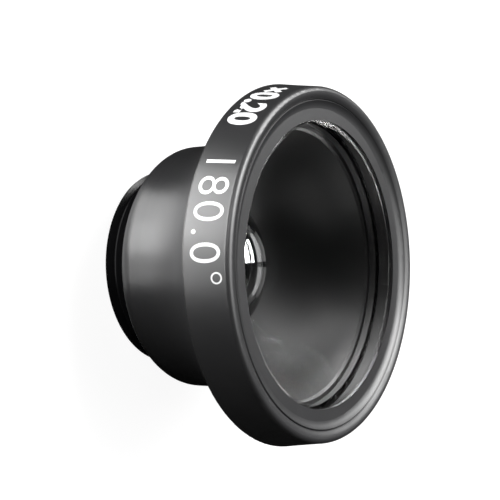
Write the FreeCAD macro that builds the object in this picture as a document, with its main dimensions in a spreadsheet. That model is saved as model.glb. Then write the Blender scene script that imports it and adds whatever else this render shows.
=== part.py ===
import FreeCAD, Part
import math
import os

import Sketcher

# Screw-in fisheye lens for a phone, in millimetres.
# The optical axis is +Z and the origin is the centre of the rear end face, so the lens stands on its thread.

DOC = FreeCAD.newDocument("fisheye_lens")
SHEET = DOC.addObject("Spreadsheet::Sheet", "Sizes")

# Driving dimensions: word, millimetres, what it measures.
DRIVING = (
    # Threaded stub
    ("thread_radius", 8.5, "crest radius of the M17 x 1 thread"),
    ("thread_length", 3.0, "stub from its end to the barrel"),
    ("thread_chamfer", 0.25, "chamfer at the free end of the thread"),
    ("relief_depth", 0.65, "depth of the relief groove behind the thread"),
    ("relief_width", 0.5, "width of the relief groove"),
    ("stub_wall", 2.05, "wall of the stub under the thread"),
    ("spigot_wall", 0.95, "wall of the part pressed into the barrel"),
    # Rear lens group, from the rear end forward
    ("ring_recess", 0.25, "rear ring below the end face"),
    ("rear_ring_thick", 0.65, "rear retaining ring"),
    ("rear_ring_land", 1.5, "width of the rear retaining ring"),
    ("slot_width", 0.9, "spanner slot of the rear retaining ring"),
    ("slot_depth", 0.35, "depth of the spanner slots"),
    ("flint_edge", 1.4, "edge of the rear flint lens"),
    ("crown_edge", 0.65, "edge of the rear crown lens"),
    ("cement_radius", 26.0, "radius of the cemented faces"),
    ("crown_radius", 16.0, "front face of the rear crown lens"),
    ("crown_land", 0.8, "flat edge of the rear crown lens"),
    ("stop_air", 0.49, "air between the rear crown lens and the stop"),
    ("stop_thick", 0.15, "aperture washer"),
    ("stop_radius", 2.1, "hole of the aperture washer"),
    # Second lens
    ("web_thick", 0.6, "web between the two lens cells"),
    ("web_clear", 0.1, "hole through the web beyond the hollow of the second lens"),
    ("second_edge", 2.1, "edge of the second lens"),
    ("second_middle", 1.86, "thickness of the second lens on the axis"),
    ("second_front", 8.2, "front face radius of the second lens"),
    ("second_land", 0.85, "flat front edge of the second lens"),
    ("second_rear_land", 1.5, "flat rear edge of the second lens"),
    # Bowl and front glass
    ("glass_radius", 12.55, "outer radius of the front glass"),
    ("glass_land", 0.65, "flat edge behind the front glass"),
    ("glass_middle", 1.27, "thickness of the front glass on the axis"),
    ("glass_front", 70.0, "front face radius of the front glass"),
    ("glass_rear", 60.0, "hollow rear face radius of the front glass"),
    ("glass_bevel", 0.15, "bevel at the front edge of the glass"),
    ("spacer_length", 0.6, "spacer below the front glass"),
    ("mouth_step", 0.6, "mouth of the bowl inside the spacer"),
    ("mouth_chamfer", 0.2, "lit edge at the mouth of the bowl"),
    ("sphere_margin", 0.5, "sphere of the bowl beyond its mouth"),
    ("bowl_wall", 0.7, "wall of the bowl"),
    ("flange_thick", 0.8, "flange of the bowl"),
    # Front retaining ring
    ("ledge_thick", 0.3, "lip over the glass"),
    ("ledge_width", 0.95, "flat ledge round the opening"),
    ("skirt_wall", 0.95, "threaded skirt outside the glass"),
    ("skirt_length", 1.3, "threaded skirt below the lip"),
    ("skirt_gap", 0.2, "free space under the skirt"),
    ("cove_height", 0.3, "rise of the cove outside the ledge"),
    ("cove_curve", 0.98, "hollow rounding of the cove"),
    ("parting_chamfer", 0.07, "broken edges along the parting line"),
    # Outside of the barrel
    ("shoulder_step", 2.0, "neck of the barrel beyond the thread"),
    ("shoulder_radius", 1.6, "rounding of the shoulder beside the thread"),
    ("neck_length", 1.0, "straight part of the neck"),
    ("bead_width", 1.05, "bead outside the front retaining ring"),
    ("bead_round", 0.42, "outer rounding of the front bead"),
    ("bead_height", 0.5, "top of the bead above the ledge"),
    ("band_width", 4.05, "band from its rear face to the top of the bead"),
    ("band_taper", 0.5, "rear edge of the band beyond its front edge"),
    ("band_rear_face", 0.64, "flat rear face of the band, outside the flare"),
    ("band_edge_round", 0.25, "rounding of the rear edge of the band"),
    # Fits
    ("slide_fit", 0.05, "radial clearance of what slides into a bore"),
    ("glass_clear", 0.05, "air between the glass and the lip"),
)


class Size:
    """A length that carries both its number and the sheet formula that gives it."""

    def __init__(self, value, text):
        self.value = value
        self.text = text

    def _join(self, other, sign, value):
        other_text = other.text if isinstance(other, Size) else repr(other)
        return Size(value, f"({self.text} {sign} {other_text})")

    @staticmethod
    def _number(other):
        return other.value if isinstance(other, Size) else other

    def __add__(self, other):
        return self._join(other, "+", self.value + self._number(other))

    def __sub__(self, other):
        return self._join(other, "-", self.value - self._number(other))

    def __mul__(self, other):
        return self._join(other, "*", self.value * self._number(other))

    def __truediv__(self, other):
        return self._join(other, "/", self.value / self._number(other))

    def root(self):
        """Square root of a squared length."""
        return Size(math.sqrt(self.value), f"sqrt({self.text})")


def fill_sheet():
    """Write the driving dimensions to the sheet and return them by name."""
    sizes = {}
    for row, (name, value, meaning) in enumerate(DRIVING, start=1):
        SHEET.set(f"A{row}", meaning)
        SHEET.set(f"B{row}", str(value))
        SHEET.setAlias(f"B{row}", name)
        sizes[name] = Size(value, f"Sizes.{name}")
    DOC.recompute()
    return sizes


def sag(radius, height):
    """Depth of a spherical face of this radius at this height from the axis."""
    return radius - (radius * radius - height * height).root()


S = fill_sheet()
AXIS = Size(0.0, "0")
END = Size(0.0, "0")

# Radii, from the thread inwards and from the front glass outwards.
CELL_BORE = S["thread_radius"] - S["stub_wall"]
LENS_RADIUS = CELL_BORE - S["slide_fit"]
SPIGOT_RADIUS = CELL_BORE + S["spigot_wall"]
SPIGOT_BORE = SPIGOT_RADIUS + S["slide_fit"]
NECK_RADIUS = S["thread_radius"] + S["shoulder_step"]
CROWN_CLEAR = LENS_RADIUS - S["crown_land"]
SECOND_CLEAR = LENS_RADIUS - S["second_land"]
SECOND_REAR_CLEAR = LENS_RADIUS - S["second_rear_land"]
OPENING = S["glass_radius"] - S["glass_land"]
BOWL_MOUTH = OPENING - S["mouth_step"]
BOWL_SPHERE = BOWL_MOUTH + S["sphere_margin"]
SHELL_SPHERE = BOWL_SPHERE + S["bowl_wall"]
SEAT_SPHERE = SHELL_SPHERE + S["slide_fit"]
GLASS_BORE = S["glass_radius"] + S["slide_fit"]
RING_RADIUS = GLASS_BORE + S["skirt_wall"]
RING_BORE = RING_RADIUS + S["slide_fit"]
BAND_FRONT_RADIUS = RING_BORE + S["bead_width"]
BAND_REAR_RADIUS = BAND_FRONT_RADIUS + S["band_taper"]

# Stations along the axis, added up from the rear end.
RING_REAR = END + S["ring_recess"]
RING_FRONT = RING_REAR + S["rear_ring_thick"]
CEMENT_EDGE = RING_FRONT + S["flint_edge"]
CEMENT_APEX = CEMENT_EDGE - sag(S["cement_radius"], LENS_RADIUS)
CROWN_EDGE = CEMENT_EDGE + S["crown_edge"]
CROWN_APEX = CROWN_EDGE + sag(S["crown_radius"], CROWN_CLEAR)
STOP_REAR = CROWN_APEX + S["stop_air"]
WEB_REAR = STOP_REAR + S["stop_thick"]
WEB_FRONT = WEB_REAR + S["web_thick"]
BOWL_SEAT = WEB_FRONT + S["second_edge"]
SECOND_APEX = BOWL_SEAT + sag(S["second_front"], SECOND_CLEAR)
SPHERE_CENTRE = BOWL_SEAT + BOWL_SPHERE - sag(BOWL_SPHERE, SECOND_CLEAR)
MOUTH = SPHERE_CENTRE - BOWL_SPHERE + sag(BOWL_SPHERE, BOWL_MOUTH)
FLANGE_FRONT = MOUTH + S["mouth_chamfer"]
FLANGE_REAR = FLANGE_FRONT - S["flange_thick"]
GLASS_SEAT = FLANGE_FRONT + S["spacer_length"]
REAR_APEX = GLASS_SEAT + sag(S["glass_rear"], OPENING)
FRONT_APEX = REAR_APEX + S["glass_middle"]
LIP_REAR = FRONT_APEX - sag(S["glass_front"], OPENING) + S["glass_clear"]
LEDGE = LIP_REAR + S["ledge_thick"]
COVE_TOP = LEDGE + S["cove_height"]
CREST = LEDGE + S["bead_height"]
BAND_REAR = CREST - S["band_width"]
SKIRT_REAR = LIP_REAR - S["skirt_length"]
SKIRT_STEP = SKIRT_REAR - S["skirt_gap"]


def sphere_section(radius, height):
    """Radius at this height of a sphere round the bowl's centre."""
    run = SPHERE_CENTRE - height
    return (radius * radius - run * run).root()


def tangent_arc(run, rise):
    """Radius of the arc that starts along the first leg and ends at the corner of both."""
    return (run * run + rise * rise) / (rise + rise)


def bind(item, path, size):
    """Tie a property or constraint to the sheet."""
    item.setExpression(path, size.text)


def new_body(label):
    """One sub-part with its own label."""
    body = DOC.addObject("PartDesign::Body", label)
    body.Label = label
    return body


def origin_plane(body, role):
    """The body's own origin plane with this role."""
    for feature in body.Origin.OriginFeatures:
        if feature.Role == role:
            return feature
    raise ValueError(role)


def arc_centre(start, end, radius, left):
    """Centre of the short arc between two points; left of the way from start to end if left is true."""
    run = (end[0] - start[0], end[1] - start[1])
    chord = math.hypot(*run)
    offset = math.sqrt(radius * radius - chord * chord / 4)
    side = offset / chord if left else -offset / chord
    return ((start[0] + end[0]) / 2 - run[1] * side, (start[1] + end[1]) / 2 + run[0] * side)


def half_section(body, name, corners):
    """A closed half-section in the XZ plane.

    Each corner is (radius, height, bulge). The bulge says how the outline goes on to the next corner: None is a
    straight line, and (arc radius, "left" or "right") is an arc with its centre on that side of the way forward.
    """
    sketch = body.newObject("Sketcher::SketchObject", name)
    sketch.AttachmentSupport = [(origin_plane(body, "XZ_Plane"), "")]
    sketch.MapMode = "FlatFace"
    count = len(corners)
    ends = []
    for index, (radius, height, bulge) in enumerate(corners):
        start = (radius.value, height.value)
        after = corners[(index + 1) % count]
        end = (after[0].value, after[1].value)
        if bulge is None:
            sketch.addGeometry(Part.LineSegment(FreeCAD.Vector(*start, 0), FreeCAD.Vector(*end, 0)), False)
            ends.append((1, 2))
            continue
        left = bulge[1] == "left"
        centre = arc_centre(start, end, bulge[0].value, left)
        angles = [math.atan2(point[1] - centre[1], point[0] - centre[0]) for point in (start, end)]
        if not left:
            angles.reverse()
        circle = Part.Circle(FreeCAD.Vector(*centre, 0), FreeCAD.Vector(0, 0, 1), bulge[0].value)
        sketch.addGeometry(Part.ArcOfCircle(circle, angles[0], angles[1]), False)
        ends.append((1, 2) if left else (2, 1))
    for index in range(count):
        after = (index + 1) % count
        sketch.addConstraint(Sketcher.Constraint("Coincident", index, ends[index][1], after, ends[after][0]))
    for index, (radius, height, bulge) in enumerate(corners):
        point = (index, ends[index][0])
        if radius is AXIS:
            sketch.addConstraint(Sketcher.Constraint("PointOnObject", *point, -2))
        else:
            across = sketch.addConstraint(Sketcher.Constraint("DistanceX", -1, 1, *point, radius.value))
            sketch.renameConstraint(across, f"radius_{index}")
            bind(sketch, f"Constraints.radius_{index}", radius)
        if height is END:
            sketch.addConstraint(Sketcher.Constraint("PointOnObject", *point, -1))
        else:
            along = sketch.addConstraint(Sketcher.Constraint("DistanceY", -1, 1, *point, height.value))
            sketch.renameConstraint(along, f"height_{index}")
            bind(sketch, f"Constraints.height_{index}", height)
        if bulge is not None:
            curve = sketch.addConstraint(Sketcher.Constraint("Radius", index, bulge[0].value))
            sketch.renameConstraint(curve, f"curve_{index}")
            bind(sketch, f"Constraints.curve_{index}", bulge[0])
    return sketch


def turned(label, corners):
    """A piece turned about the optical axis from its half-section."""
    body = new_body(label)
    sketch = half_section(body, f"{label}_section", corners)
    turn = body.newObject("PartDesign::Revolution", f"{label}_turn")
    turn.Profile = (sketch, [""])
    turn.ReferenceAxis = (sketch, ["V_Axis"])
    turn.Angle = 360
    sketch.Visibility = False
    return body, turn


def grooved(body, name, corners):
    """Turn a groove out of a body and check that it took material away."""
    DOC.recompute()
    before = body.Shape.Volume
    sketch = half_section(body, f"{name}_section", corners)
    groove = body.newObject("PartDesign::Groove", name)
    groove.Profile = (sketch, [""])
    groove.ReferenceAxis = (sketch, ["V_Axis"])
    groove.Angle = 360
    DOC.recompute()
    if not body.Shape.Volume < before:
        raise RuntimeError(f"{name} cut nothing")
    return groove


def rim_edge(shape, radius, height):
    """Name of the full circle of this radius at this height."""
    for number, edge in enumerate(shape.Edges, start=1):
        if not isinstance(edge.Curve, Part.Circle):
            continue
        same_radius = abs(edge.Curve.Radius - radius.value) < 1e-4
        same_height = abs(edge.Curve.Center.z - height.value) < 1e-4
        if same_radius and same_height:
            return f"Edge{number}"
    raise RuntimeError("edge not found")


def make_thread_mount():
    """Threaded stub: the crest cylinder with its relief, and a spigot pressed into the barrel."""
    body, _ = turned("thread_mount", (
        (CELL_BORE, END, None),
        (S["thread_radius"], END, None),
        (S["thread_radius"], S["thread_length"], None),
        (SPIGOT_RADIUS, S["thread_length"], None),
        (SPIGOT_RADIUS, WEB_REAR, None),
        (CELL_BORE, WEB_REAR, None),
    ))
    inside = S["thread_radius"] - S["relief_depth"]
    outside = S["thread_radius"] + S["relief_depth"]
    relief_rear = S["thread_length"] - S["relief_width"]
    relief = grooved(body, "thread_relief", (
        (inside, relief_rear, None),
        (outside, relief_rear, None),
        (outside, S["thread_length"], None),
        (inside, S["thread_length"], None),
    ))
    chamfer = body.newObject("PartDesign::Chamfer", "thread_lead")
    chamfer.Base = (relief, [rim_edge(relief.Shape, S["thread_radius"], END)])
    bind(chamfer, "Size", S["thread_chamfer"])
    body.Tip = chamfer
    return body


def make_barrel():
    """Barrel turned from one bar: shoulder, neck, flare, band and bead outside, lens seats inside."""
    shoulder_face = NECK_RADIUS - S["shoulder_radius"]
    shoulder_top = S["thread_length"] + S["shoulder_radius"]
    flare_start = shoulder_top + S["neck_length"]
    flare_end = BAND_REAR_RADIUS - S["band_rear_face"]
    flare = tangent_arc(BAND_REAR - flare_start, flare_end - NECK_RADIUS)
    bead_crest = BAND_FRONT_RADIUS - S["bead_round"]
    bead_foot = RING_BORE + S["parting_chamfer"]
    bead_inner = tangent_arc(bead_crest - bead_foot, CREST - COVE_TOP)
    web_bore = SECOND_REAR_CLEAR + S["web_clear"]
    body, turn = turned("barrel", (
        (SPIGOT_BORE, S["thread_length"], None),
        (shoulder_face, S["thread_length"], (S["shoulder_radius"], "left")),
        (NECK_RADIUS, shoulder_top, None),
        (NECK_RADIUS, flare_start, (flare, "right")),
        (flare_end, BAND_REAR, None),
        (BAND_REAR_RADIUS, BAND_REAR, None),
        (BAND_FRONT_RADIUS, CREST - S["bead_round"], (S["bead_round"], "left")),
        (bead_crest, CREST, (bead_inner, "left")),
        (bead_foot, COVE_TOP, None),
        (RING_BORE, COVE_TOP - S["parting_chamfer"], None),
        (RING_BORE, SKIRT_STEP, None),
        (GLASS_BORE, SKIRT_STEP, None),
        (GLASS_BORE, FLANGE_REAR, None),
        (sphere_section(SEAT_SPHERE, FLANGE_REAR), FLANGE_REAR, (SEAT_SPHERE, "right")),
        (sphere_section(SEAT_SPHERE, BOWL_SEAT), BOWL_SEAT, None),
        (CELL_BORE, BOWL_SEAT, None),
        (CELL_BORE, WEB_FRONT, None),
        (web_bore, WEB_FRONT, None),
        (web_bore, WEB_REAR, None),
        (SPIGOT_BORE, WEB_REAR, None),
    ))
    DOC.recompute()
    rounding = body.newObject("PartDesign::Fillet", "band_rear_round")
    rounding.Base = (turn, [rim_edge(turn.Shape, BAND_REAR_RADIUS, BAND_REAR)])
    bind(rounding, "Radius", S["band_edge_round"])
    body.Tip = rounding
    return body


def make_front_retaining_ring():
    """Dished ring that screws in over the front glass: flat ledge, cove and threaded skirt."""
    body, _ = turned("front_retaining_ring", (
        (OPENING, LIP_REAR, None),
        (OPENING, LEDGE, None),
        (OPENING + S["ledge_width"], LEDGE, (S["cove_curve"], "left")),
        (RING_RADIUS - S["parting_chamfer"], COVE_TOP, None),
        (RING_RADIUS, COVE_TOP - S["parting_chamfer"], None),
        (RING_RADIUS, SKIRT_REAR, None),
        (GLASS_BORE, SKIRT_REAR, None),
        (GLASS_BORE, LIP_REAR, None),
    ))
    return body


def make_front_glass():
    """Front lens, hollow behind, with a flat land that sits on the spacer and a bevel at its front edge."""
    edge_front = FRONT_APEX - sag(S["glass_front"], S["glass_radius"] - S["glass_bevel"])
    body, _ = turned("front_glass", (
        (AXIS, REAR_APEX, (S["glass_rear"], "right")),
        (OPENING, GLASS_SEAT, None),
        (S["glass_radius"], GLASS_SEAT, None),
        (S["glass_radius"], edge_front - S["glass_bevel"], None),
        (S["glass_radius"] - S["glass_bevel"], edge_front, (S["glass_front"], "left")),
        (AXIS, FRONT_APEX, None),
    ))
    return body


def make_glass_spacer():
    """Short wall between the glass and the bowl's flange."""
    body, _ = turned("glass_spacer", (
        (OPENING, FLANGE_FRONT, None),
        (S["glass_radius"], FLANGE_FRONT, None),
        (S["glass_radius"], GLASS_SEAT, None),
        (OPENING, GLASS_SEAT, None),
    ))
    return body


def make_light_bowl():
    """Black bowl: a spherical shell between the flange and the second lens."""
    body, _ = turned("light_bowl", (
        (SECOND_CLEAR, BOWL_SEAT, None),
        (sphere_section(SHELL_SPHERE, BOWL_SEAT), BOWL_SEAT, (SHELL_SPHERE, "left")),
        (sphere_section(SHELL_SPHERE, FLANGE_REAR), FLANGE_REAR, None),
        (S["glass_radius"], FLANGE_REAR, None),
        (S["glass_radius"], FLANGE_FRONT, None),
        (BOWL_MOUTH + S["mouth_chamfer"], FLANGE_FRONT, None),
        (BOWL_MOUTH, MOUTH, (BOWL_SPHERE, "right")),
    ))
    return body


def make_second_lens():
    """Small meniscus lens, held by its flat edge between the bowl and the web."""
    rear_apex = SECOND_APEX - S["second_middle"]
    rear_radius = tangent_arc(SECOND_REAR_CLEAR, rear_apex - WEB_FRONT)
    body, _ = turned("second_lens", (
        (AXIS, rear_apex, (rear_radius, "right")),
        (SECOND_REAR_CLEAR, WEB_FRONT, None),
        (LENS_RADIUS, WEB_FRONT, None),
        (LENS_RADIUS, BOWL_SEAT, None),
        (SECOND_CLEAR, BOWL_SEAT, (S["second_front"], "left")),
        (AXIS, SECOND_APEX, None),
    ))
    return body


def make_aperture_stop():
    """Thin washer that limits the light."""
    body, _ = turned("aperture_stop", (
        (S["stop_radius"], STOP_REAR, None),
        (LENS_RADIUS, STOP_REAR, None),
        (LENS_RADIUS, WEB_REAR, None),
        (S["stop_radius"], WEB_REAR, None),
    ))
    return body


def make_stop_spacer():
    """Ring between the crown lens and the stop."""
    bore = CROWN_CLEAR + S["slide_fit"]
    body, _ = turned("stop_spacer", (
        (bore, CROWN_EDGE, None),
        (LENS_RADIUS, CROWN_EDGE, None),
        (LENS_RADIUS, STOP_REAR, None),
        (bore, STOP_REAR, None),
    ))
    return body


def make_rear_crown_lens():
    """Front half of the cemented pair, bulging both ways."""
    body, _ = turned("rear_crown_lens", (
        (AXIS, CEMENT_APEX, (S["cement_radius"], "left")),
        (LENS_RADIUS, CEMENT_EDGE, None),
        (LENS_RADIUS, CROWN_EDGE, None),
        (CROWN_CLEAR, CROWN_EDGE, (S["crown_radius"], "left")),
        (AXIS, CROWN_APEX, None),
    ))
    return body


def make_rear_flint_lens():
    """Rear half of the cemented pair, flat behind."""
    body, _ = turned("rear_flint_lens", (
        (AXIS, RING_FRONT, None),
        (LENS_RADIUS, RING_FRONT, None),
        (LENS_RADIUS, CEMENT_EDGE, (S["cement_radius"], "right")),
        (AXIS, CEMENT_APEX, None),
    ))
    return body


def make_rear_retaining_ring():
    """Ring that locks the rear lenses, with two slots for a spanner."""
    ring_bore = LENS_RADIUS - S["rear_ring_land"]
    body, _ = turned("rear_retaining_ring", (
        (ring_bore, RING_REAR, None),
        (LENS_RADIUS, RING_REAR, None),
        (LENS_RADIUS, RING_FRONT, None),
        (ring_bore, RING_FRONT, None),
    ))
    DOC.recompute()
    solid = body.Shape.Volume
    sketch = body.newObject("Sketcher::SketchObject", "slot_outline")
    sketch.AttachmentSupport = [(origin_plane(body, "XY_Plane"), "")]
    sketch.MapMode = "FlatFace"
    inner = ring_bore - S["slot_width"]
    outer = LENS_RADIUS + S["slot_width"]
    half = S["slot_width"] / 2
    corners = ((inner, -1), (outer, -1), (outer, 1), (inner, 1))
    points = [FreeCAD.Vector(across.value, side * half.value, 0) for across, side in corners]
    for index in range(4):
        sketch.addGeometry(Part.LineSegment(points[index], points[(index + 1) % 4]), False)
    for index in range(4):
        sketch.addConstraint(Sketcher.Constraint("Coincident", index, 2, (index + 1) % 4, 1))
    for index, kind in ((0, "Horizontal"), (2, "Horizontal"), (3, "Vertical")):
        sketch.addConstraint(Sketcher.Constraint(kind, index))
    sketch.addConstraint(Sketcher.Constraint("Symmetric", 1, 1, 1, 2, -1))
    for name, constraint, size in (
        ("slot_inner", Sketcher.Constraint("DistanceX", -1, 1, 0, 1, inner.value), inner),
        ("slot_outer", Sketcher.Constraint("DistanceX", -1, 1, 0, 2, outer.value), outer),
        ("slot_across", Sketcher.Constraint("DistanceY", 1, 1, 1, 2, S["slot_width"].value), S["slot_width"]),
    ):
        number = sketch.addConstraint(constraint)
        sketch.renameConstraint(number, name)
        bind(sketch, f"Constraints.{name}", size)
    slot = body.newObject("PartDesign::Pocket", "spanner_slot")
    slot.Profile = (sketch, [""])
    slot.Reversed = True
    bind(slot, "Length", RING_REAR + S["slot_depth"])
    DOC.recompute()
    if not body.Shape.Volume < solid:
        raise RuntimeError("the spanner slot cut nothing")
    slots = body.newObject("PartDesign::PolarPattern", "spanner_slots")
    slots.Originals = [slot]
    slots.Axis = (sketch, ["N_Axis"])
    slots.Angle = 360
    slots.Occurrences = 2
    body.Tip = slots
    return body


MAKERS = (
    make_thread_mount,
    make_barrel,
    make_front_retaining_ring,
    make_front_glass,
    make_glass_spacer,
    make_light_bowl,
    make_second_lens,
    make_aperture_stop,
    make_stop_spacer,
    make_rear_crown_lens,
    make_rear_flint_lens,
    make_rear_retaining_ring,
)


def check_document():
    """Stop if any object failed to compute."""
    for item in DOC.Objects:
        if "Invalid" in item.State or "Error" in item.State:
            raise RuntimeError(f"{item.Name}: {item.State}")


def check_piece(body):
    """Stop if a piece is not one valid solid."""
    shape = body.Shape
    if shape.isNull() or not shape.isValid() or len(shape.Solids) != 1:
        raise RuntimeError(f"{body.Label} is not one valid solid")


def main():
    bodies = [make() for make in MAKERS]
    DOC.recompute()
    check_document()
    os.makedirs("parts", exist_ok=True)
    for body in bodies:
        check_piece(body)
    for body in bodies:
        body.Shape.exportStep(f"parts/{body.Label}.step")
        box = body.Shape.BoundBox
        print(f"{body.Label}: volume {body.Shape.Volume:.2f}, z {box.ZMin:.3f} to {box.ZMax:.3f}, x to {box.XMax:.3f}")


main()
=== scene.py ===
"""Looks of a screw-in fisheye lens for a phone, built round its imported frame."""

import logging
import math
from dataclasses import dataclass, field, replace
from enum import Enum
from typing import Sequence

import bmesh
import bpy
from mathutils import Matrix, Vector


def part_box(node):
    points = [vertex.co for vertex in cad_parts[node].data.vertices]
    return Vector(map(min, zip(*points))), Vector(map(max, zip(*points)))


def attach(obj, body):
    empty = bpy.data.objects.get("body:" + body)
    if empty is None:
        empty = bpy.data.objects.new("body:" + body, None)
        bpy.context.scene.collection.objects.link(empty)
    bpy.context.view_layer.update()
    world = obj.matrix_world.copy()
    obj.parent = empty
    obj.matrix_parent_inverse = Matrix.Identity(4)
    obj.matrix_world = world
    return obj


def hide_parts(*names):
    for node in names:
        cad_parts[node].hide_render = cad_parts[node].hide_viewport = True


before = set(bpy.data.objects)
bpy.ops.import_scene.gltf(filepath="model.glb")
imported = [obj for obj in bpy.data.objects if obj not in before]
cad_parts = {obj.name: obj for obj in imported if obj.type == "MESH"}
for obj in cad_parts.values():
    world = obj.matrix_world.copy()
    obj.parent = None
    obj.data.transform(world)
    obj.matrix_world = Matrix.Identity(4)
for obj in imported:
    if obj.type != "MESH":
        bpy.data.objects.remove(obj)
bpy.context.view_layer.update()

LOG = logging.getLogger("fisheye_lens")
MM = 0.001

# Weld and crease of the thread
WELD_GAP = 0.0005 * MM
CREASE = math.radians(25)

# Patterns of the finishes
CLOUD_SIZE = 2.5 * MM
DUST_SIZE = 1.5 * MM
INK_MOTTLE = 0.12 * MM
INK_FILM = 0.01 * MM
INK_RELIEF = 0.3
INK_ROUGHNESS_SPREAD = 0.1
MOULD_ROUGHNESS_SPREAD = 0.06

# Rays that see the white surroundings
SEEN_RAYS = ("Is Camera Ray", "Is Glossy Ray", "Is Transmission Ray")

# Camera of the photograph
PHOTO_WIDTH = 500
SENSOR_WIDTH = 36.0
CLIP_START = 1.0 * MM
CLIP_END = 10.0


class Slot(Enum):
    """Material slots of the record, which name the finishes too."""

    BODY = "satin_black_anodised"
    THREAD = "thread_black_anodised"
    INNER = "inner_black_anodised"
    BOWL = "bowl_black"
    GLASS = "coated_glass"
    PRINT = "white_print"


class Signal:
    """An output socket that can be used in a Python expression.

    Arithmetic on a signal adds Math nodes to its bench.
    """

    def __init__(self, bench: "Bench", socket: bpy.types.NodeSocket) -> None:
        """Wrap an output socket of a bench."""
        self.bench = bench
        self.socket = socket

    def maths(self, operation: str, *others: "Signal | float", swap: bool = False) -> "Signal":
        """Add a Math node.

        Args:
            operation: Name of the Math operation.
            others: Further operands, signals or numbers.
            swap: True if this signal is the second operand.

        Returns:
            The node's result.
        """
        operands = [self, *others]
        if swap:
            operands.reverse()
        node = self.bench.add("ShaderNodeMath", {"operation": operation}, dict(enumerate(operands)))
        return Signal(self.bench, node.outputs[0])

    def __add__(self, other: "Signal | float") -> "Signal":
        """Sum."""
        return self.maths("ADD", other)

    __radd__ = __add__

    def __sub__(self, other: "Signal | float") -> "Signal":
        """Difference."""
        return self.maths("SUBTRACT", other)

    def __rsub__(self, other: float) -> "Signal":
        """Difference from a number."""
        return self.maths("SUBTRACT", other, swap=True)

    def __mul__(self, other: "Signal | float") -> "Signal":
        """Product."""
        return self.maths("MULTIPLY", other)

    __rmul__ = __mul__

    def squared(self) -> "Signal":
        """Second power."""
        return self * self

    def root(self) -> "Signal":
        """Square root."""
        return self.maths("SQRT")


class Bench:
    """Node tree of one material or of the world, with one method that adds any node."""

    def __init__(self, owner: bpy.types.Material | bpy.types.World) -> None:
        """Start an empty tree.

        Args:
            owner: Material or world that the tree belongs to.
        """
        self.owner = owner
        owner.use_nodes = True
        self.tree = owner.node_tree
        self.tree.nodes.clear()

    @classmethod
    def of_material(cls, name: str) -> "Bench":
        """Start an empty material of this name."""
        return cls(bpy.data.materials.new(name))

    def add(
        self,
        kind: str,
        settings: dict[str, object] | None = None,
        inputs: dict[str | int, object] | None = None,
    ) -> bpy.types.Node:
        """Add a node: type first, then its settings, then its sockets.

        Args:
            kind: Blender's name of the node type.
            settings: Node properties, set first.
            inputs: Socket name or number to a signal, a socket or a value.

        Returns:
            The new node.
        """
        node = self.tree.nodes.new(kind)
        for name, value in (settings or {}).items():
            setattr(node, name, value)
        for name, value in (inputs or {}).items():
            self.feed(node, name, value)
        return node

    def feed(self, node: bpy.types.Node, name: str | int, value: object) -> None:
        """Set or link one input socket.

        Args:
            node: Node that has the socket.
            name: Socket name or number.
            value: A signal or socket to link, or a value to set.
        """
        if isinstance(value, Signal):
            value = value.socket
        if isinstance(value, bpy.types.NodeSocket):
            self.tree.links.new(value, node.inputs[name])
        else:
            node.inputs[name].default_value = value

    def place(self) -> bpy.types.NodeSocket:
        """Position in the lens's own frame, in metres."""
        return self.add("ShaderNodeTexCoord").outputs["Object"]

    def noise(self, feature: float, detail: float = 2.0, at: bpy.types.NodeSocket | None = None) -> Signal:
        """Cloudy variation between 0 and 1, with clouds of a size in metres and finer layers."""
        inputs = {"Vector": at or self.place(), "Scale": 1.0 / feature, "Detail": detail}
        return Signal(self, self.add("ShaderNodeTexNoise", None, inputs).outputs[0])

    def radius(self) -> Signal:
        """Distance from the optical axis, in metres."""
        split = self.add("ShaderNodeSeparateXYZ", None, {0: self.place()})
        across, along = (Signal(self, split.outputs[number]) for number in (0, 1))
        return (across.squared() + along.squared()).root()

    def height(self) -> Signal:
        """Height above the rear face, in metres."""
        return Signal(self, self.add("ShaderNodeSeparateXYZ", None, {0: self.place()}).outputs[2])

    def ramp(self, value: Signal, start: float, end: float) -> Signal:
        """Straight rise from 0 at start to 1 at end, level before and after."""
        node = self.add("ShaderNodeMapRange", {"clamp": True}, {0: value, 1: start, 2: end})
        return Signal(self, node.outputs[0])

    def turning_marks(self, feed: float) -> Signal:
        """Height, between 0 and 1, of the rings that a lathe tool leaves one feed apart, in metres."""
        point = self.add("ShaderNodeCombineXYZ", None, {0: self.radius(), 2: self.height()}).outputs[0]
        return self.noise(feed, 1.0, point)

    def bump(self, height: Signal, depth: float, strength: float) -> bpy.types.NodeSocket:
        """Normal disturbed by a height, which is counted in steps of depth metres."""
        inputs = {"Height": height, "Distance": depth, "Strength": strength}
        return self.add("ShaderNodeBump", None, inputs).outputs[0]

    def blend(self, factor: Signal, first: Sequence[float], second: Sequence[float]) -> bpy.types.NodeSocket:
        """Colour between the first, at factor 0, and the second, at factor 1."""
        inputs = {"Factor": factor, "A": (*first, 1.0), "B": (*second, 1.0)}
        return self.add("ShaderNodeMix", {"data_type": "RGBA"}, inputs).outputs["Result"]

    def seen_rays(self) -> list[Signal]:
        """Signals that are 1 where the camera, a reflection or a refraction looks."""
        paths = self.add("ShaderNodeLightPath")
        return [Signal(self, paths.outputs[name]) for name in SEEN_RAYS]

    def finish(self, shader: bpy.types.Node, output: str = "ShaderNodeOutputMaterial") -> bpy.types.ID:
        """Connect the last shader to the surface and return the material or world."""
        self.add(output, None, {"Surface": shader.outputs[0]})
        return self.owner


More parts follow.
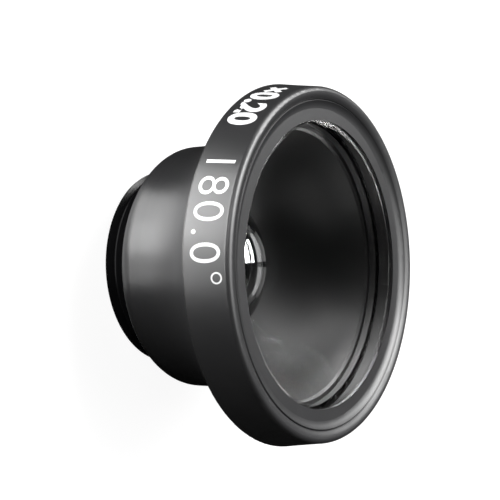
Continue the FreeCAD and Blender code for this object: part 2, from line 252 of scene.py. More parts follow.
@dataclass(frozen=True)
class AnodisedFinish:
    """Black anodised aluminium, bead-blasted or left with the lathe's marks.

    Sizes of grain and marks are in metres, their depths in millimetres.
    """

    name: str
    shade: tuple[float, float, float]
    shade_high: tuple[float, float, float]
    roughness: float
    roughness_spread: float
    index: float
    grain: float
    grain_depth: float
    marks: float = 0.0
    marks_depth: float = 0.0

    def make(self) -> bpy.types.Material:
        """Build the material.

        Returns:
            The material.
        """
        bench = Bench.of_material(self.name)
        cloud = bench.noise(CLOUD_SIZE)
        grain = bench.noise(self.grain, 1.0)
        relief = grain * self.grain_depth
        if self.marks:
            relief = bench.turning_marks(self.marks) * self.marks_depth + relief
        shader = bench.add("ShaderNodeBsdfPrincipled", None, {
            "Base Color": bench.blend(cloud, self.shade, self.shade_high),
            "Roughness": (cloud + grain) * self.roughness_spread + (self.roughness - self.roughness_spread),
            "IOR": self.index,
            "Normal": bench.bump(relief, MM, 1.0),
        })
        return bench.finish(shader)


@dataclass(frozen=True)
class MouldedFinish:
    """Satin black moulded plastic with the mould's fine rings.

    The marks' size is in metres, their depth in millimetres. The slope stands for fine steps that tilt an
    upright wall's face towards the front.
    """

    name: str
    shade: tuple[float, float, float]
    shade_high: tuple[float, float, float]
    roughness: float
    specular: float
    marks: float
    marks_depth: float
    slope: float = 0.0

    def make(self) -> bpy.types.Material:
        """Build the material.

        Returns:
            The material.
        """
        bench = Bench.of_material(self.name)
        cloud = bench.noise(CLOUD_SIZE)
        relief = bench.turning_marks(self.marks) * self.marks_depth
        if self.slope:
            relief = relief - bench.height() * (self.slope / MM)
        shader = bench.add("ShaderNodeBsdfPrincipled", None, {
            "Base Color": bench.blend(cloud, self.shade, self.shade_high),
            "Roughness": (cloud - 0.5) * MOULD_ROUGHNESS_SPREAD + self.roughness,
            "Specular IOR Level": self.specular,
            "Normal": bench.bump(relief, MM, 1.0),
        })
        return bench.finish(shader)


@dataclass(frozen=True)
class LensRim:
    """Bare ground rim round a coated face, and the blackened side of the lens. Lengths in metres."""

    start: float
    end: float
    floor: float
    rise: float
    roughness: float
    side: float
    fade: float = 0.04 * MM
    paint: tuple[float, float, float] = (0.014, 0.014, 0.014)
    paint_high: tuple[float, float, float] = (0.018, 0.018, 0.018)
    paint_roughness: float = 0.42
    paint_specular: float = 0.28
    paint_slope: float = 0.3

    def bare_glass(self, bench: Bench) -> Signal:
        """Mask of the rim, which grows towards its outer edge.

        Args:
            bench: Bench of the lens's material.

        Returns:
            The mask, 0 on the coating and on the rear face.
        """
        radius = bench.radius()
        inside = 1.0 - bench.ramp(radius, self.end, self.end + self.fade)
        above = bench.ramp(bench.height(), self.floor, self.floor + self.fade)
        return bench.ramp(radius, self.start, self.end) * inside * above

    def paint_side(self, bench: Bench, glass: bpy.types.Node) -> bpy.types.Node:
        """Blacken the side of the lens.

        Args:
            bench: Bench of the lens's material.
            glass: Shader of the glass.

        Returns:
            The mixed shader.
        """
        side = bench.ramp(bench.radius(), self.side - self.fade, self.side)
        paint = bench.add("ShaderNodeBsdfPrincipled", None, {
            "Base Color": bench.blend(bench.noise(CLOUD_SIZE), self.paint, self.paint_high),
            "Roughness": self.paint_roughness,
            "Specular IOR Level": self.paint_specular,
            "Normal": bench.bump(bench.height() * -self.paint_slope, 1.0, 1.0),
        })
        return bench.add("ShaderNodeMixShader", None, {0: side, 1: glass.outputs[0], 2: paint.outputs[0]})


@dataclass(frozen=True)
class LensFinish:
    """Polished optical glass with an anti-reflection coating.

    The coated glass keeps only a share of bare glass's reflection and refraction.
    """

    name: str
    tint: tuple[float, float, float]
    index: float
    coated: float
    dust: float
    rim: LensRim | None = None

    def make(self) -> bpy.types.Material:
        """Build the material.

        Returns:
            The material.
        """
        bench = Bench.of_material(self.name)
        roughness = bench.noise(DUST_SIZE) * self.dust
        inputs = {
            "Base Color": (*self.tint, 1.0),
            "Roughness": roughness,
            "IOR": self.index,
            "Transmission Weight": 1.0,
            "Alpha": self.coated,
        }
        if self.rim is None:
            return bench.finish(bench.add("ShaderNodeBsdfPrincipled", None, inputs))
        bare = self.rim.bare_glass(bench)
        inputs["Alpha"] = bare * (1.0 - self.coated) + self.coated
        inputs["Roughness"] = roughness + bare * self.rim.roughness
        inputs["Normal"] = bench.bump(bare * self.rim.rise, 1.0, 1.0)
        glass = bench.add("ShaderNodeBsdfPrincipled", None, inputs)
        return bench.finish(self.rim.paint_side(bench, glass))


@dataclass(frozen=True)
class InkFinish:
    """Pad-printed white ink with a slightly uneven film."""

    name: str
    shade: tuple[float, float, float]
    thin_shade: tuple[float, float, float]
    roughness: float

    def make(self) -> bpy.types.Material:
        """Build the material.

        Returns:
            The material.
        """
        bench = Bench.of_material(self.name)
        film = bench.noise(INK_MOTTLE)
        shader = bench.add("ShaderNodeBsdfPrincipled", None, {
            "Base Color": bench.blend(film, self.shade, self.thin_shade),
            "Roughness": film * INK_ROUGHNESS_SPREAD + self.roughness,
            "Normal": bench.bump(film, INK_FILM, INK_RELIEF),
        })
        return bench.finish(shader)


@dataclass(frozen=True)
class SweepFinish:
    """White paper sweep: white behind the lens, plain paper that takes its shadow."""

    name: str
    glow: float
    paper: float

    def make(self) -> bpy.types.Material:
        """Build the material.

        Returns:
            The material.
        """
        bench = Bench.of_material(self.name)
        camera, glossy, through = bench.seen_rays()
        glow = bench.add("ShaderNodeEmission", None, {
            "Color": (1.0, 1.0, 1.0, 1.0),
            "Strength": (camera + glossy + through) * self.glow,
        })
        paper = bench.add("ShaderNodeBsdfDiffuse", None, {"Color": (self.paper, self.paper, self.paper, 1.0)})
        both = bench.add("ShaderNodeAddShader", None, {0: glow.outputs[0], 1: paper.outputs[0]})
        return bench.finish(both)


BODY_FINISH = AnodisedFinish(
    name=Slot.BODY.value,
    shade=(0.020, 0.020, 0.021),
    shade_high=(0.026, 0.026, 0.027),
    roughness=0.38,
    roughness_spread=0.03,
    index=1.76,
    grain=0.07 * MM,
    grain_depth=0.003,
)
THREAD_FINISH = AnodisedFinish(
    name=Slot.THREAD.value,
    shade=(0.008, 0.008, 0.009),
    shade_high=(0.012, 0.012, 0.013),
    roughness=0.26,
    roughness_spread=0.03,
    index=1.40,
    grain=0.05 * MM,
    grain_depth=0.001,
    marks=0.06 * MM,
    marks_depth=0.002,
)
INNER_FINISH = AnodisedFinish(
    name=Slot.INNER.value,
    shade=(0.012, 0.012, 0.012),
    shade_high=(0.018, 0.018, 0.018),
    roughness=0.45,
    roughness_spread=0.03,
    index=1.60,
    grain=0.06 * MM,
    grain_depth=0.002,
    marks=0.09 * MM,
    marks_depth=0.002,
)
BOWL_FINISH = MouldedFinish(
    name=Slot.BOWL.value,
    shade=(0.012, 0.012, 0.012),
    shade_high=(0.016, 0.016, 0.016),
    roughness=0.42,
    specular=0.50,
    marks=0.10 * MM,
    marks_depth=0.001,
)
SPACER_FINISH = replace(BOWL_FINISH, name="spacer_black", slope=0.3)
FRONT_GLASS_FINISH = LensFinish(
    name=f"front_{Slot.GLASS.value}",
    tint=(0.97, 0.985, 0.98),
    index=1.52,
    coated=0.004,
    dust=0.01,
    rim=LensRim(
        start=11.45 * MM,
        end=11.90 * MM,
        floor=16.20 * MM,
        rise=0.25 * MM,
        roughness=0.2,
        side=12.50 * MM,
    ),
)
SECOND_GLASS_FINISH = LensFinish(
    name=f"second_{Slot.GLASS.value}",
    tint=(0.97, 0.985, 0.98),
    index=1.70,
    coated=1.0,
    dust=0.01,
)
REAR_GLASS_FINISH = LensFinish(
    name=f"rear_{Slot.GLASS.value}",
    tint=(0.94, 0.96, 0.97),
    index=1.60,
    coated=1.0,
    dust=0.02,
)
INK_FINISH = InkFinish(
    name=Slot.PRINT.value,
    shade=(0.86, 0.86, 0.86),
    thin_shade=(0.78, 0.78, 0.78),
    roughness=0.45,
)


def round_axis(radius: float, azimuth: float, height: float) -> tuple[float, float, float]:
    """Point in metres, from a radius and a height in millimetres and an azimuth in radians."""
    return (radius * MM * math.cos(azimuth), radius * MM * math.sin(azimuth), height * MM)


def add_mesh(
    name: str,
    points: Sequence[Sequence[float]],
    faces: Sequence[Sequence[int]],
) -> bpy.types.Object:
    """Make a mesh object.

    Args:
        name: Name of the piece.
        points: Corners, in metres.
        faces: Corner numbers of each face.

    Returns:
        The object, linked to the scene.
    """
    mesh = bpy.data.meshes.new(name)
    mesh.from_pydata(points, [], faces)
    mesh.validate()
    mesh.update()
    piece = bpy.data.objects.new(name, mesh)
    bpy.context.scene.collection.objects.link(piece)
    return piece


def paint(piece: bpy.types.Object, material: bpy.types.Material) -> None:
    """Give a piece one material."""
    piece.data.materials.clear()
    piece.data.materials.append(material)


def paint_node(name: str, material: bpy.types.Material) -> None:
    """Give a node of the frame its finish.

    Args:
        name: Name of the node.
        material: Its material.
    """
    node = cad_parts[name]
    for slot in node.material_slots:
        slot.material = material
    LOG.info("node %s dressed in %s", name, material.name)


def fit_piece(piece: bpy.types.Object) -> None:
    """Put a piece on the lens.

    Args:
        piece: The piece.
    """
    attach(piece, "root")
    LOG.info("piece %s: %d faces", piece.name, len(piece.data.polygons))


@dataclass
class ThreadedStub:
    """Stub with its real M17 x 1 thread, in place of the plain one of the frame. Lengths in millimetres.

    Crest and root are shares of the pitch, the depth is a share of the sharp triangle's height. A crest's
    middle lies at crest_at above the rear face on the side at crest_azimuth, in degrees.
    """

    crest_radius: float = 8.5
    pitch: float = 1.0
    thread_end: float = 2.5
    lead_chamfer: float = 0.25
    relief_radius: float = 7.85
    stub_length: float = 3.0
    spigot_radius: float = 7.4
    cell_bore: float = 6.45
    crest_at: float = 0.46
    crest_azimuth: float = -90.0
    columns: int = 288
    rows_between: int = 2
    crest_share: float = 1 / 8
    root_share: float = 1 / 4
    depth_share: float = 17 / 24
    spigot_end: float = field(init=False)

    def __post_init__(self) -> None:
        """Read the spigot's end from the frame."""
        self.spigot_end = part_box("thread_mount")[1].z / MM

    def thread_steps(self) -> list[tuple[float, float]]:
        """Rows of one turn of the thread.

        Returns:
            Height within the pitch and depth below the crest, for each row.
        """
        triangle = self.pitch * math.sqrt(3) / 2
        depth = triangle * self.depth_share
        crest = self.pitch * self.crest_share
        root = self.pitch * self.root_share
        flank = (self.pitch - crest - root) / 2
        foot = crest + flank
        corners = [(0.0, 0.0), (crest, 0.0), (foot, depth), (foot + root, depth), (self.pitch, 0.0)]
        rows = []
        for (low, start), (high, end) in zip(corners, corners[1:]):
            for step in range(self.rows_between):
                share = step / self.rows_between
                rows.append((low + (high - low) * share, start + (end - start) * share))
        return rows

    def depth_at(self, height: float) -> float:
        """Depth of the thread below its crest at a height above the start of a crest.

        Args:
            height: Distance along the axis from the start of any crest.

        Returns:
            Depth below the crest.
        """
        place = height % self.pitch
        rows = [*self.thread_steps(), (self.pitch, 0.0)]
        for (low, start), (high, end) in zip(rows, rows[1:]):
            if low <= place <= high:
                return start + (end - start) * (place - low) / (high - low)
        return 0.0

    def build(self) -> bpy.types.Object:
        """Make the stub's mesh.

        Returns:
            The piece.
        """
        steps = self.thread_steps()
        turns = math.ceil(self.thread_end / self.pitch) + 1
        levels = [turn * self.pitch + height for turn in range(-1, turns) for height, _ in steps]
        crest_middle = self.pitch * self.crest_share / 2
        before = [(self.cell_bore, 0.0)]
        after = [
            (self.relief_radius, self.thread_end),
            (self.relief_radius, self.stub_length),
            (self.spigot_radius, self.stub_length),
            (self.spigot_radius, self.spigot_end),
            (self.cell_bore, self.spigot_end),
        ]
        columns = []
        for column in range(self.columns):
            turn = column / self.columns
            lift = self.crest_at - crest_middle + self.pitch * (turn - self.crest_azimuth / 360)
            lift -= self.pitch * math.floor(self.crest_at / self.pitch - self.crest_azimuth / 360)
            ring = []
            for level in levels:
                height = min(max(level + lift, 0.0), self.thread_end)
                radius = self.crest_radius - self.depth_at(height - lift)
                ring.append((min(radius, self.crest_radius - self.lead_chamfer + height), height))
            outline = (*before, *ring, *after)
            columns.append([round_axis(radius, 2 * math.pi * turn, height) for radius, height in outline])
        return self._join(columns, len(before), len(levels), len(steps))

    def _join(
        self,
        columns: list[list[tuple[float, float, float]]],
        first: int,
        count: int,
        per_turn: int,
    ) -> bpy.types.Object:
        """Join the columns into one closed skin.

        Args:
            columns: Points of each column, from the bore round the outside and back.
            first: Number of the first thread row.
            count: Number of thread rows.
            per_turn: Thread rows in one turn.

        Returns:
            The piece.
        """
        points = [point for column in columns for point in column]
        rows = len(columns[0])
        last = first + count
        faces = []
        for column in range(self.columns):
            seam = column == self.columns - 1
            here = column * rows
            there = 0 if seam else here + rows
            for row in range(rows):
                after = (row + 1) % rows
                in_thread = first <= row < last - 1
                shift = per_turn if seam and in_thread else 0
                if seam and in_thread and after + shift >= last:
                    continue
                if seam and row == first - 1:
                    faces.append((here + row, here + after, there + first + per_turn, there + row))
                    continue
                faces.append((here + row, here + after, there + after + shift, there + row + shift))
        piece = add_mesh("threaded_stub", points, faces)
        weld(piece, WELD_GAP)
        sharpen(piece, CREASE)
        return piece

    def dress(self, piece: bpy.types.Object) -> None:
        """Finish the stub and let it stand for the plain one.

        Args:
            piece: The stub.
        """
        paint(piece, THREAD_FINISH.make())
        fit_piece(piece)
        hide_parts("thread_mount")


def weld(piece: bpy.types.Object, gap: float) -> None:
    """Merge corners that lie together and remove faces without area.

    Args:
        piece: The piece.
        gap: Largest distance of corners that merge, in metres.
    """
    work = bmesh.new()
    work.from_mesh(piece.data)
    bmesh.ops.remove_doubles(work, verts=work.verts, dist=gap)
    bmesh.ops.dissolve_degenerate(work, dist=gap, edges=work.edges)
    bmesh.ops.recalc_face_normals(work, faces=work.faces)
    work.to_mesh(piece.data)
    work.free()


def sharpen(piece: bpy.types.Object, crease: float) -> None:
    """Shade a piece smooth but keep its creases, from an angle in radians."""
    piece.data.shade_smooth()
    piece.data.set_sharp_from_angle(angle=crease)


@dataclass(frozen=True)
class NumberLine:
    """One printed line of numbers. Lengths in millimetres.

    The weight is added to the strokes. Start and base place the line along and across the band.
    """

    name: str
    text: str
    height: float
    weight: float
    spacing: float
    start: float
    base: float


ANGLE_LINE = NumberLine(
    name="angle_of_view_print",
    text="180.0°",
    height=2.66,
    weight=-0.03,
    spacing=1.15,
    start=-9.5,
    base=0.8,
)
RATIO_LINE = NumberLine(
    name="ratio_print",
    text="×0.20",
    height=2.2,
    weight=0.12,
    spacing=1.0,
    start=-19.8,
    base=0.9,
)


@dataclass
class BandPrint:
    """White numbers printed round the conical band. Lengths in millimetres."""

    front_radius: float = 14.65
    rear_radius: float = 15.15
    bead_round: float = 0.42
    band_width: float = 4.05
    film: float = 0.012
    curve_steps: int = 8
    front_edge: float = field(init=False)
    rear_edge: float = field(init=False)

    def __post_init__(self) -> None:
        """Read where the band lies from the frame."""
        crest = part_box("barrel")[1].z / MM
        self.front_edge = crest - self.bead_round
        self.rear_edge = crest - self.band_width

    def on_band(self, along: float, up: float, lift: float) -> tuple[float, float, float]:
        """Point on the band.

        Args:
            along: Arc length round the band from the side that faces -Y, positive towards +X.
            up: Distance from the rear edge towards the front.
            lift: Height above the surface.

        Returns:
            The point, in metres.
        """
        share = up / (self.front_edge - self.rear_edge)
        radius = self.rear_radius + (self.front_radius - self.rear_radius) * share + lift
        return round_axis(radius, along / self.rear_radius - math.pi / 2, self.rear_edge + up)

    def _flat(self, line: NumberLine) -> tuple[list[tuple[float, float]], list[tuple[int, ...]]]:
        """Set a line in type.

        Args:
            line: The line.

        Returns:
            Corners along and up, in millimetres, and the corner numbers of each face.
        """
        letters = bpy.data.curves.new(line.name, "FONT")
        letters.body = line.text
        letters.size = 1.0
        letters.space_character = line.spacing
        letters.resolution_u = self.curve_steps
        draft = bpy.data.objects.new(f"{line.name}_draft", letters)
        bpy.context.scene.collection.objects.link(draft)
        bpy.context.view_layer.update()
        digit = max(corner[1] for corner in draft.bound_box)
        letters.offset = line.weight / line.height * digit
        bpy.context.view_layer.update()
        mesh = bpy.data.meshes.new_from_object(draft.evaluated_get(bpy.context.evaluated_depsgraph_get()))
        bpy.data.objects.remove(draft)
        scale = line.height / digit
        flat = [(corner.co.x * scale, corner.co.y * scale) for corner in mesh.vertices]
        faces = [tuple(face.vertices) for face in mesh.polygons]
        bpy.data.meshes.remove(mesh)
        return flat, faces

    def build(self, line: NumberLine) -> bpy.types.Object:
        """Print a line of numbers as a thin film of ink.

        Args:
            line: The line.

        Returns:
            The piece.
        """
        flat, faces = self._flat(line)
        count = len(flat)
        points = [self.on_band(line.start + x, line.base + y, lift)
                  for lift in (0.0, self.film) for x, y in flat]
        edges = dict.fromkeys(edge for face in faces for edge in zip(face, (*face[1:], face[0])))
        rims = [(one, two) for one, two in edges if (two, one) not in edges]
        skin = [tuple(corner + count for corner in face) for face in faces]
        walls = [(one, two, two + count, one + count) for one, two in rims]
        return add_mesh(line.name, points, skin + walls)

    def dress(self, piece: bpy.types.Object, ink: bpy.types.Material) -> None:
        """Ink a line of numbers and put it on the lens."""
        paint(piece, ink)
        fit_piece(piece)


@dataclass
class Barrel:
    """Turned metal parts that keep the frame's own shape."""

    satin_nodes: tuple[str, ...] = ("barrel", "front_retaining_ring")
    inner_nodes: tuple[str, ...] = ("aperture_stop", "stop_spacer", "rear_retaining_ring")

    def dress(self) -> None:
        """Give the metal parts their finish."""
        satin = BODY_FINISH.make()
        inner = INNER_FINISH.make()
        for name in self.satin_nodes:
            paint_node(name, satin)
        for name in self.inner_nodes:
            paint_node(name, inner)


@dataclass
class Optics:
    """Glass parts and the black bowl between them."""

    front: str = "front_glass"
    second: str = "second_lens"
    rear: tuple[str, ...] = ("rear_crown_lens", "rear_flint_lens")
    bowl: str = "light_bowl"
    spacer: str = "glass_spacer"

    def dress(self) -> None:
        """Give the glass and the bowl their finish."""
        paint_node(self.front, FRONT_GLASS_FINISH.make())
        paint_node(self.second, SECOND_GLASS_FINISH.make())
        rear_glass = REAR_GLASS_FINISH.make()
        for name in self.rear:
            paint_node(name, rear_glass)
        paint_node(self.bowl, BOWL_FINISH.make())
        paint_node(self.spacer, SPACER_FINISH.make())


def hang_lamp(
    name: str,
    place: Vector,
    turn: Matrix,
    size: tuple[float, float],
    radiance: float,
) -> bpy.types.Object:
    """Hang a soft rectangular lamp that the camera doesn't see.

    Args:
        name: Name of the lamp.
        place: Its middle, in millimetres.
        turn: Its axes as columns: first side, second side and the way it faces away from.
        size: Its two sides, in millimetres.
        radiance: Brightness of its face, where a white wall is 1.

    Returns:
        The lamp.
    """
    data = bpy.data.lights.new(name, "AREA")
    data.shape = "RECTANGLE"
    data.size, data.size_y = (side * MM for side in size)
    data.energy = radiance * math.pi * data.size * data.size_y
    lamp = bpy.data.objects.new(name, data)
    lamp.matrix_world = Matrix.Translation(place * MM) @ turn.to_4x4()
    lamp.visible_camera = False
    bpy.context.scene.collection.objects.link(lamp)
    return lamp


def aim_lamp(lamp: bpy.types.Object, pieces: Sequence[bpy.types.Object], only: bool) -> None:
    """Say which pieces a lamp lights.

    Args:
        lamp: The lamp.
        pieces: Pieces of the lens.
        only: True if it lights only these pieces, False if it lights all the others.
    """
    group = bpy.data.collections.new(f"{lamp.name}_pieces")
    for piece in pieces:
        group.objects.link(piece)
    for member in group.collection_objects:
        member.light_linking.link_state = "INCLUDE" if only else "EXCLUDE"
    lamp.light_linking.receiver_collection = group


def half_tangent(span: tuple[float, float]) -> float:
    """Tangent of half the angle between two directions in degrees."""
    return math.tan(math.radians(span[1] - span[0]) / 2)


@dataclass(frozen=True)
class Softbox:
    """Softbox hung round the lens. Azimuth and height are ranges in degrees."""

    name: str
    azimuth: tuple[float, float]
    height: tuple[float, float]
    radiance: float
    distance: float = 600.0

    def hang(self) -> bpy.types.Object:
        """Hang the softbox so that it fills its ranges as seen from the lens.

        Returns:
            The lamp.
        """
        azimuth = math.radians(sum(self.azimuth) / 2)
        height = math.radians(sum(self.height) / 2)
        level = math.cos(height)
        toward = Vector((level * math.cos(azimuth), level * math.sin(azimuth), math.sin(height)))
        width = 2 * self.distance * level * half_tangent(self.azimuth)
        length = 2 * self.distance * half_tangent(self.height)
        turn = (-toward).to_track_quat("-Z", "Y").to_matrix()
        return hang_lamp(self.name, toward * self.distance, turn, (width, length), self.radiance)


@dataclass(frozen=True)
class TablePanel:
    """Light panel that lies on the table beside the lens. Azimuth in degrees, reach in millimetres."""

    name: str
    azimuth: tuple[float, float]
    reach: tuple[float, float]
    radiance: float
    height: float = 0.4

    def hang(self) -> bpy.types.Object:
        """Lay the panel on the table, facing up.

        Returns:
            The lamp.
        """
        azimuth = math.radians(sum(self.azimuth) / 2)
        middle = sum(self.reach) / 2
        place = Vector((middle * math.cos(azimuth), middle * math.sin(azimuth), self.height))
        size = (self.reach[1] - self.reach[0], 2 * middle * half_tangent(self.azimuth))
        turn = Matrix.Rotation(azimuth, 3, "Z") @ Matrix.Rotation(math.pi, 3, "X")
        return hang_lamp(self.name, place, turn, size, self.radiance)


@dataclass(frozen=True)
class Glint:
    """Small lamp that only the second lens mirrors, given by three of its corners in millimetres."""

    name: str
    corners: tuple[tuple[float, float, float], ...]
    radiance: float

    def hang(self, mirror: bpy.types.Object) -> None:
        """Hang the lamp over the lens.

        Args:
            mirror: The lens that mirrors it.
        """
        corner, first, second = (Vector(point) for point in self.corners)
        along = first - corner
        across = second - corner
        axis = -along.cross(across).normalized()
        if axis.z < 0:
            axis = -axis
        side = along.normalized()
        turn = Matrix((side, axis.cross(side), axis)).transposed()
        lamp = hang_lamp(self.name, (first + second) / 2, turn, (along.length, across.length), self.radiance)
        aim_lamp(lamp, [mirror], only=True)


@dataclass(frozen=True)
class Flag:
    """Black cloth that keeps light off the sides, unseen by the camera. Lengths in millimetres."""

    name: str
    shade: tuple[float, float, float] = (0.004, 0.004, 0.004)
    shade_high: tuple[float, float, float] = (0.006, 0.006, 0.006)
    weave: float = 2.0
    height: float = 0.2
    ring_steps: int = 60
    tent_rows: int = 12
    tent_columns: int = 32

    def make(self) -> bpy.types.Material:
        """Build the cloth's material.

        Returns:
            The material.
        """
        bench = Bench.of_material(self.name)
        shader = bench.add("ShaderNodeBsdfDiffuse", None, {
            "Color": bench.blend(bench.noise(self.weave * MM), self.shade, self.shade_high),
        })
        return bench.finish(shader)

    @staticmethod
    def _ring(radius: float, height: float, count: int) -> list[tuple[float, float, float]]:
        """Points, in metres, on a level circle round the axis."""
        return [round_axis(radius, 2 * math.pi * step / count, height) for step in range(count)]

    @staticmethod
    def _strip(low: int, count: int) -> list[tuple[int, int, int, int]]:
        """Faces between the circle of points that starts at low and the next one."""
        pairs = ((low + step, low + (step + 1) % count) for step in range(count))
        return [(here, beside, beside + count, here + count) for here, beside in pairs]

    def lay(self, reach: tuple[float, float]) -> None:
        """Lay a cloth round the lens on the table, between two radii."""
        points = [point for radius in reach for point in self._ring(radius, self.height, self.ring_steps)]
        self._hide(add_mesh(f"{self.name}_on_table", points, self._strip(0, self.ring_steps)), blocking=False)

    def hang_tent(self, radius: float) -> None:
        """Hang a black tent over the lens.

        Args:
            radius: Radius of the tent.
        """
        count = self.tent_columns
        points = []
        for row in range(self.tent_rows):
            rise = math.pi / 2 * row / self.tent_rows
            points += self._ring(radius * math.cos(rise), radius * math.sin(rise), count)
        top = len(points)
        last = top - count
        points.append((0.0, 0.0, radius * MM))
        faces = [face for low in range(0, last, count) for face in self._strip(low, count)]
        faces += [(last + column, last + (column + 1) % count, top) for column in range(count)]
        self._hide(add_mesh(f"{self.name}_tent", points, faces), blocking=True)

    def _hide(self, cloth: bpy.types.Object, blocking: bool) -> None:
        """Give a cloth its material and keep it out of the camera's sight.

        Args:
            cloth: The cloth.
            blocking: True if it takes light from the sweep as well, not only from the lens's reflections.
        """
        paint(cloth, self.make())
        cloth.visible_camera = False
        cloth.visible_transmission = False
        cloth.visible_diffuse = blocking
        cloth.visible_shadow = blocking


@dataclass(frozen=True)
class Viewpoint:
    """The photograph's camera.

    The opening's centre is given along the camera's own axes, in millimetres, and the optical axis by its
    shares of the camera's right and up.
    """

    focal_pixels: float = 1219.6
    opening_right: float = 6.275
    opening_down: float = 1.192
    opening_away: float = 100.58
    axis_right: float = 0.828
    axis_up: float = 0.017

    def place(self, opening: float) -> bpy.types.Object:
        """Set up the camera.

        Args:
            opening: Height of the opening's plane, in millimetres.

        Returns:
            The camera.
        """
        toward = math.sqrt(1 - self.axis_right**2 - self.axis_up**2)
        level = math.sqrt(1 - toward**2)
        back = Vector((0.0, -level, toward))
        tilt = self.axis_up / level
        right = Vector((tilt, math.sqrt(1 - self.axis_right**2 - tilt**2), self.axis_right))
        up = back.cross(right)
        centre = Vector((0.0, 0.0, opening))
        spot = centre - right * self.opening_right + up * self.opening_down + back * self.opening_away
        data = bpy.data.cameras.new("camera")
        data.sensor_width = SENSOR_WIDTH
        data.lens = self.focal_pixels * SENSOR_WIDTH / PHOTO_WIDTH
        data.clip_start = CLIP_START
        data.clip_end = CLIP_END
        camera = bpy.data.objects.new("camera", data)
        turn = Matrix((right, up, back)).transposed()
        camera.matrix_world = Matrix.Translation(spot * MM) @ turn.to_4x4()
        bpy.context.scene.collection.objects.link(camera)
        bpy.context.scene.camera = camera
        return camera


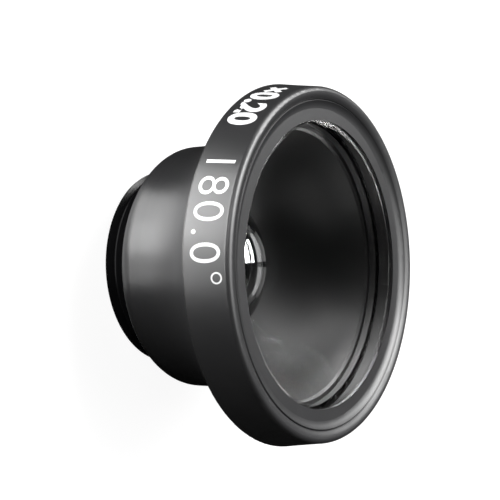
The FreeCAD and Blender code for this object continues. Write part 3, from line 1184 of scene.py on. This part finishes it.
@dataclass
class Studio:
    """White sweep, black cloths, soft lamps, world and camera."""

    sweep: SweepFinish = SweepFinish(name="white_sweep", glow=0.93, paper=0.2)
    flag: Flag = Flag(name="black_cloth")
    cloth_reach: tuple[float, float] = (8.6, 790.0)
    tent_radius: float = 800.0
    floor_half: float = 1500.0
    world_white: float = 1.0
    world_fill: float = 0.3
    ledge_drop: float = 0.5
    softboxes: tuple[Softbox, ...] = (
        Softbox("crown_softbox", (150.0, 210.0), (55.0, 75.0), 14.7),
        Softbox("top_softbox", (90.0, 150.0), (55.0, 75.0), 4.9),
        Softbox("high_side_softbox", (135.0, 165.0), (35.0, 55.0), 11.5),
        Softbox("high_back_softbox", (105.0, 135.0), (35.0, 55.0), 4.8),
        Softbox("front_softbox", (225.0, 255.0), (15.0, 35.0), 4.1),
        Softbox("side_softbox", (165.0, 195.0), (15.0, 35.0), 1.6),
        Softbox("back_softbox", (105.0, 135.0), (15.0, 35.0), 1.6),
    )
    overhead_radiance: float = 3.0
    overhead_height: float = 600.0
    overhead_side: float = 320.0
    bowl_softboxes: tuple[Softbox, ...] = (
        Softbox("bowl_low_side_softbox", (135.0, 195.0), (0.0, 15.0), 70.0),
        Softbox("bowl_low_front_softbox", (195.0, 225.0), (0.0, 15.0), 14.0),
        Softbox("bowl_low_back_softbox", (75.0, 135.0), (0.0, 15.0), 5.3),
        Softbox("bowl_low_fill_softbox", (-45.0, 15.0), (0.0, 15.0), 4.2),
        Softbox("bowl_fill_softbox", (45.0, 75.0), (15.0, 35.0), 12.7),
        Softbox("bowl_high_fill_softbox", (45.0, 75.0), (35.0, 55.0), 7.0),
        Softbox("bowl_side_softbox", (135.0, 165.0), (15.0, 35.0), 9.9),
        Softbox("bowl_front_softbox", (165.0, 225.0), (15.0, 35.0), 5.3),
        Softbox("bowl_high_side_softbox", (135.0, 195.0), (35.0, 55.0), 4.4),
        Softbox("bowl_top_softbox", (90.0, 150.0), (55.0, 75.0), 3.4),
        Softbox("bowl_opposite_softbox", (-50.0, 10.0), (12.0, 42.0), 0.85),
    )
    rim_softboxes: tuple[Softbox, ...] = (
        Softbox("rim_low_softbox", (114.0, 132.0), (35.0, 48.0), 45.0),
        Softbox("rim_side_softbox", (48.0, 68.0), (56.0, 70.0), 90.0),
        Softbox("rim_high_softbox", (48.0, 66.0), (37.0, 47.0), 8.0),
    )
    bowl_nodes: tuple[str, ...] = ("light_bowl", "glass_spacer", "front_glass")
    rim_node: str = "front_glass"
    mirror_node: str = "second_lens"
    panels: tuple[TablePanel, ...] = (
        TablePanel("far_panel_a", (220.0, 240.0), (34.0, 48.0), 13.8),
        TablePanel("far_panel_b", (240.0, 260.0), (34.0, 48.0), 23.1),
        TablePanel("far_panel_c", (260.0, 280.0), (34.0, 48.0), 7.9),
        TablePanel("outer_panel", (220.0, 240.0), (48.0, 75.0), 3.4),
        TablePanel("near_panel_a", (220.0, 240.0), (15.0, 17.5), 6.4),
        TablePanel("near_panel_b", (240.0, 260.0), (15.0, 17.5), 9.8),
        TablePanel("near_panel_c", (260.0, 280.0), (15.0, 17.5), 4.3),
        TablePanel("middle_panel", (220.0, 260.0), (17.5, 21.0), 1.6),
        TablePanel("shoulder_panel", (220.0, 262.0), (12.5, 15.0), 2.6),
        TablePanel("foot_panel", (220.0, 280.0), (8.7, 12.0), 0.7),
    )
    glints: tuple[Glint, ...] = (
        Glint("window_glint", ((-0.35, 2.7, 12.9), (-4.2, 2.7, 12.9), (-0.35, 3.7, 12.2)), 16.0),
        Glint("window_slip_glint", ((-0.35, 3.98, 12.0), (-3.9, 3.98, 12.0), (-0.35, 4.7, 11.5)), 16.0),
        Glint("sill_glint", ((-0.3, 6.2, 9.4), (-4.0, 6.2, 9.4), (-0.3, 6.3, 7.9)), 0.35),
        Glint("low_glint", ((0.3, 6.2, 9.4), (4.0, 6.2, 9.4), (0.3, 6.3, 7.9)), 0.25),
    )

    def lay_floor(self) -> None:
        """Lay the white sweep under the lens."""
        half = self.floor_half * MM
        corners = [(-half, -half, 0), (half, -half, 0), (half, half, 0), (-half, half, 0)]
        floor = add_mesh("sweep", corners, [(0, 1, 2, 3)])
        paint(floor, self.sweep.make())

    def fill_world(self) -> None:
        """Light the world: white where it is seen, and a plain fill elsewhere."""
        bench = Bench(bpy.data.worlds.new("studio"))
        camera, glossy, through = bench.seen_rays()
        seen = camera.maths("MAXIMUM", glossy).maths("MAXIMUM", through)
        background = bench.add("ShaderNodeBackground", None, {
            "Strength": seen * (self.world_white - self.world_fill) + self.world_fill,
        })
        bpy.context.scene.world = bench.finish(background, "ShaderNodeOutputWorld")

    def hang_lamps(self) -> None:
        """Hang the lamps of the outside, of the bowl, of the front glass's rim and of the second lens."""
        bowl = [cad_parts[name] for name in self.bowl_nodes]
        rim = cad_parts[self.rim_node]
        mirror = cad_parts[self.mirror_node]
        outside = [lamp.hang() for lamp in (*self.softboxes, *self.panels)]
        place = Vector((0.0, 0.0, self.overhead_height))
        size = (self.overhead_side, self.overhead_side)
        outside.append(hang_lamp("overhead_softbox", place, Matrix.Identity(3), size, self.overhead_radiance))
        for lamp in outside:
            aim_lamp(lamp, [*bowl, mirror], only=False)
        for box in self.bowl_softboxes:
            aim_lamp(box.hang(), bowl, only=True)
        for box in self.rim_softboxes:
            aim_lamp(box.hang(), [rim], only=True)
        mirror.visible_diffuse = False
        mirror.visible_glossy = False
        for glint in self.glints:
            glint.hang(mirror)

    def set_up(self) -> None:
        """Set up floor, world, cloths, lamps and camera."""
        self.lay_floor()
        self.fill_world()
        self.flag.lay(self.cloth_reach)
        self.flag.hang_tent(self.tent_radius)
        self.hang_lamps()
        Viewpoint().place(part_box("barrel")[1].z / MM - self.ledge_drop)
        bpy.context.scene.view_settings.view_transform = "Standard"
        LOG.info("studio set up with %d lamps", len(bpy.data.lights))


def dress_lens() -> None:
    """Build and finish every piece of the lens."""
    stub = ThreadedStub()
    stub.dress(stub.build())
    Barrel().dress()
    Optics().dress()
    numbers = BandPrint()
    ink = INK_FINISH.make()
    for line in (ANGLE_LINE, RATIO_LINE):
        numbers.dress(numbers.build(line), ink)


def main() -> None:
    """Build the lens and its studio."""
    logging.basicConfig(level=logging.INFO, format="%(message)s")
    dress_lens()
    Studio().set_up()


if __name__ == "__main__":
    main()
